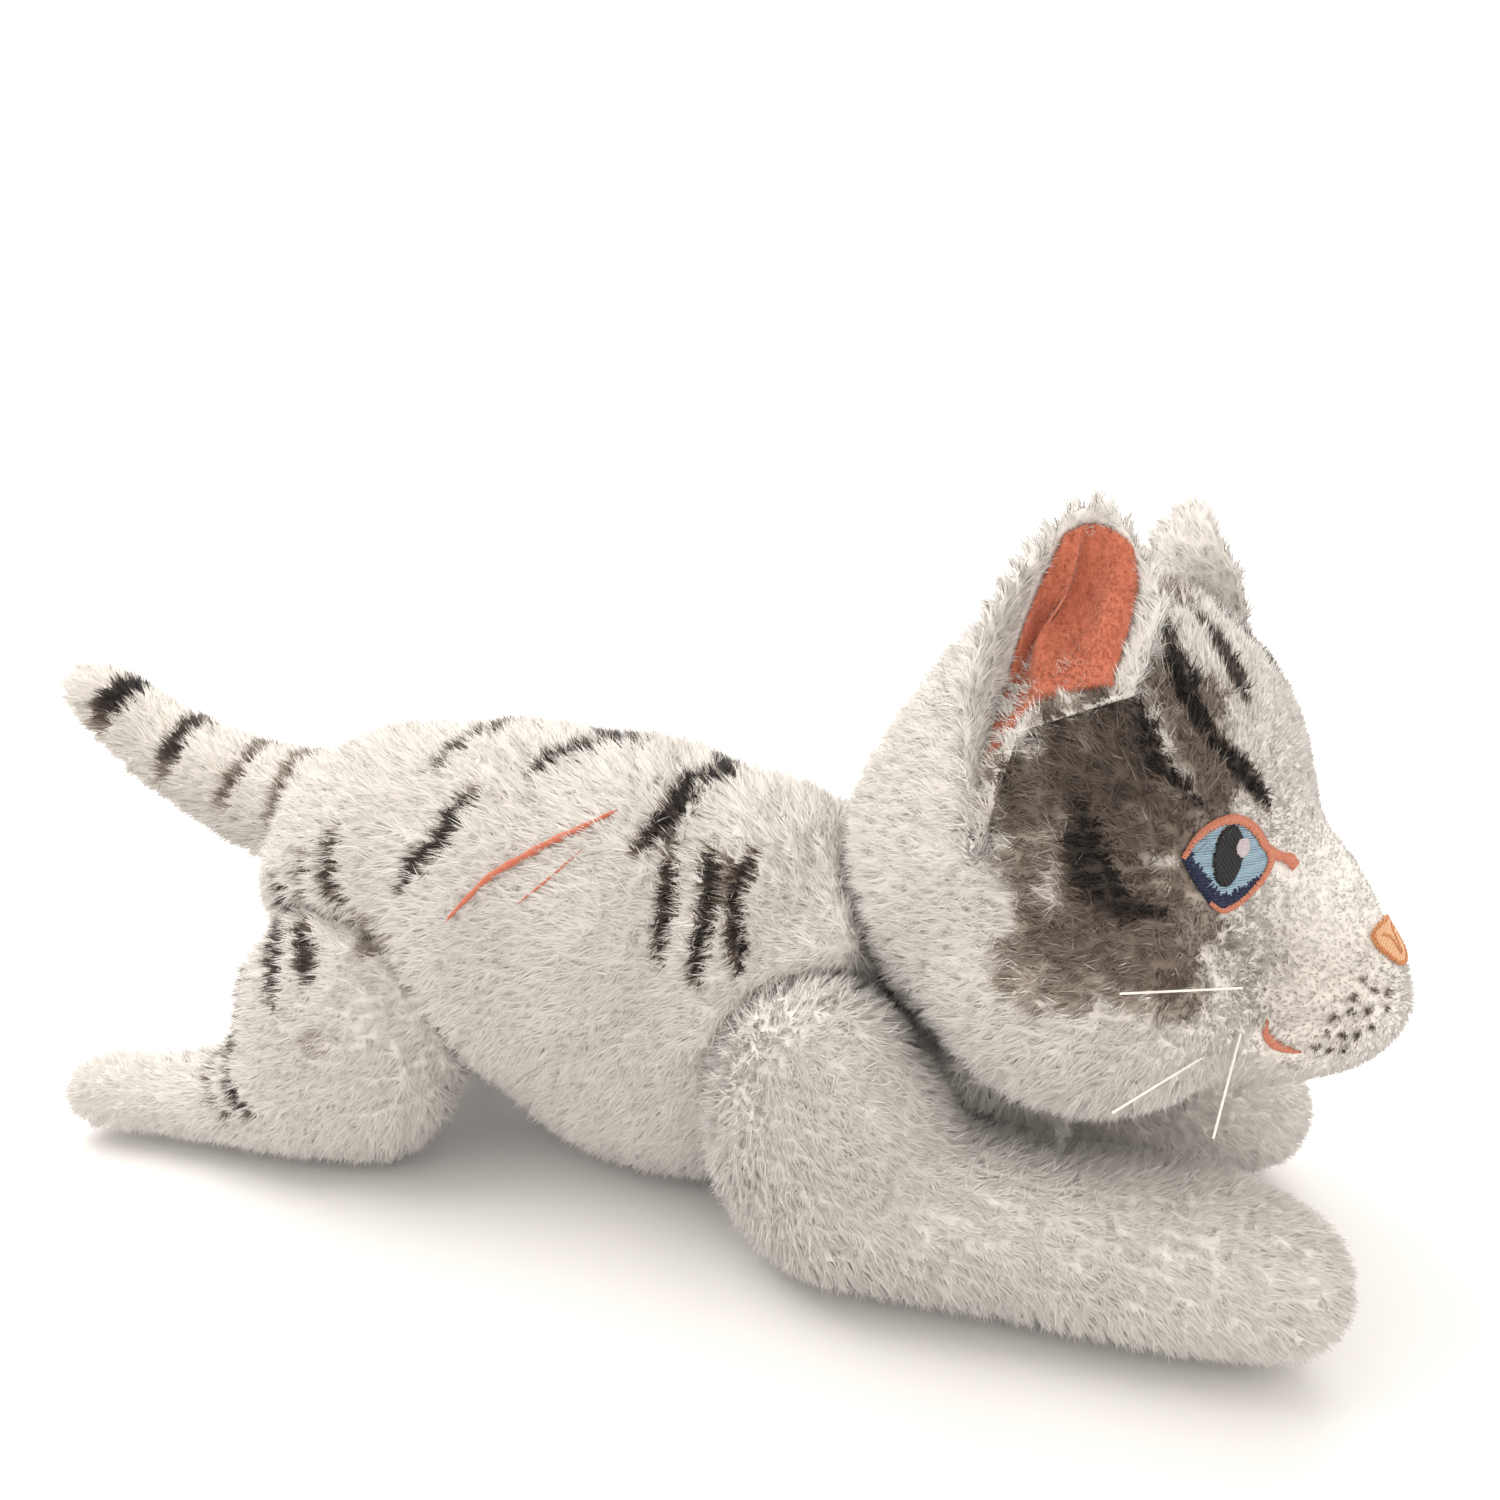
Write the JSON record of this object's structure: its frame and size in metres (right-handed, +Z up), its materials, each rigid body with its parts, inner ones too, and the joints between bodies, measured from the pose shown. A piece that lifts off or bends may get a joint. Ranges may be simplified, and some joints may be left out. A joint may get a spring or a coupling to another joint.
{
  "type": "plush cat",
  "caption": "White striped plush cat lying on its belly, with sewn head, legs and tail that turn at their seams, folding ears and embroidered eyes.",
  "frame": {"origin": "on the floor under the belly, on the body's middle plane", "axes": "+X towards the face, +Y to the cat's left, +Z up"},
  "size_m": [0.3968, 0.1455, 0.1912],
  "materials": {
    "white_fur": "short soft pile, white with dark brushed stripes",
    "coral_fleece": "short fleece",
    "filling": "loose polyester fibre",
    "coral_thread": "satin stitch",
    "blue_thread": "satin stitch",
    "navy_thread": "satin stitch",
    "black_thread": "satin stitch",
    "white_thread": "satin stitch",
    "peach_thread": "satin stitch",
    "nylon": "clear monofilament"
  },
  "bodies": {
    "torso": {"torso_cover": "white_fur", "torso_filling": "filling", "flank_slit": "coral_fleece"},
    "head": {"head_cover": "white_fur", "head_filling": "filling", "eye_rim_right": "coral_thread", "eye_rim_left": "coral_thread", "eye_iris_right": "blue_thread", "eye_iris_left": "blue_thread", "eye_shadow_right": "navy_thread", "eye_shadow_left": "navy_thread", "eye_pupil_right": "black_thread", "eye_pupil_left": "black_thread", "eye_glint_right": "white_thread", "eye_glint_left": "white_thread", "nose": "peach_thread", "mouth_right": "coral_thread", "mouth_left": "coral_thread", "whisker_upper_right": "nylon", "whisker_upper_left": "nylon", "whisker_front_right": "nylon", "whisker_front_left": "nylon", "whisker_lower_right": "nylon", "whisker_lower_left": "nylon"},
    "ear_right": {"ear_back_right": "white_fur", "ear_lining_right": "coral_fleece"},
    "ear_left": {"ear_back_left": "white_fur", "ear_lining_left": "coral_fleece"},
    "front_leg_right": {"front_leg_right_cover": "white_fur", "front_leg_right_filling": "filling"},
    "front_leg_left": {"front_leg_left_cover": "white_fur", "front_leg_left_filling": "filling"},
    "hind_leg_right": {"hind_leg_right_cover": "white_fur", "hind_leg_right_filling": "filling"},
    "hind_leg_left": {"hind_leg_left_cover": "white_fur", "hind_leg_left_filling": "filling"},
    "tail": {"tail_cover": "white_fur", "tail_filling": "filling"}
  },
  "joints": [
    {"name": "head_turn", "type": "hinge", "parent": "torso", "child": "head", "pos_m": [0.106, 0, 0.106], "axis": [0, 0, 1], "range_deg": [-15, 15], "stiffness_Nm_per_rad": 0.2},
    {"name": "ear_fold_right", "type": "hinge", "parent": "head", "child": "ear_right", "pos_m": [0.10672, -0.05281, 0.139], "axis": [0.615, 0.21, 0.76], "range_deg": [0, 12], "stiffness_Nm_per_rad": 0.02},
    {"name": "ear_fold_left", "type": "hinge", "parent": "head", "child": "ear_left", "pos_m": [0.13762, 0.0423, 0.139], "axis": [0.3739, -0.5319, 0.7598], "range_deg": [-12, 0], "stiffness_Nm_per_rad": 0.02},
    {"name": "front_leg_swing_right", "type": "hinge", "parent": "torso", "child": "front_leg_right", "pos_m": [0.058, -0.046, 0.042], "axis": [0, 0, 1], "range_deg": [-24, 4], "stiffness_Nm_per_rad": 0.1},
    {"name": "front_leg_swing_left", "type": "hinge", "parent": "torso", "child": "front_leg_left", "pos_m": [0.058, 0.046, 0.042], "axis": [0, 0, 1], "range_deg": [-4, 24], "stiffness_Nm_per_rad": 0.1},
    {"name": "hind_leg_swing_right", "type": "hinge", "parent": "torso", "child": "hind_leg_right", "pos_m": [-0.092, -0.042, 0.042], "axis": [0, 0, 1], "range_deg": [-4, 20], "stiffness_Nm_per_rad": 0.1},
    {"name": "hind_leg_swing_left", "type": "hinge", "parent": "torso", "child": "hind_leg_left", "pos_m": [-0.092, 0.042, 0.042], "axis": [0, 0, 1], "range_deg": [-20, 4], "stiffness_Nm_per_rad": 0.1},
    {"name": "tail_swing", "type": "hinge", "parent": "torso", "child": "tail", "pos_m": [-0.128, 0, 0.098], "axis": [0, 0, 1], "range_deg": [-30, 30], "stiffness_Nm_per_rad": 0.05}
  ]
}
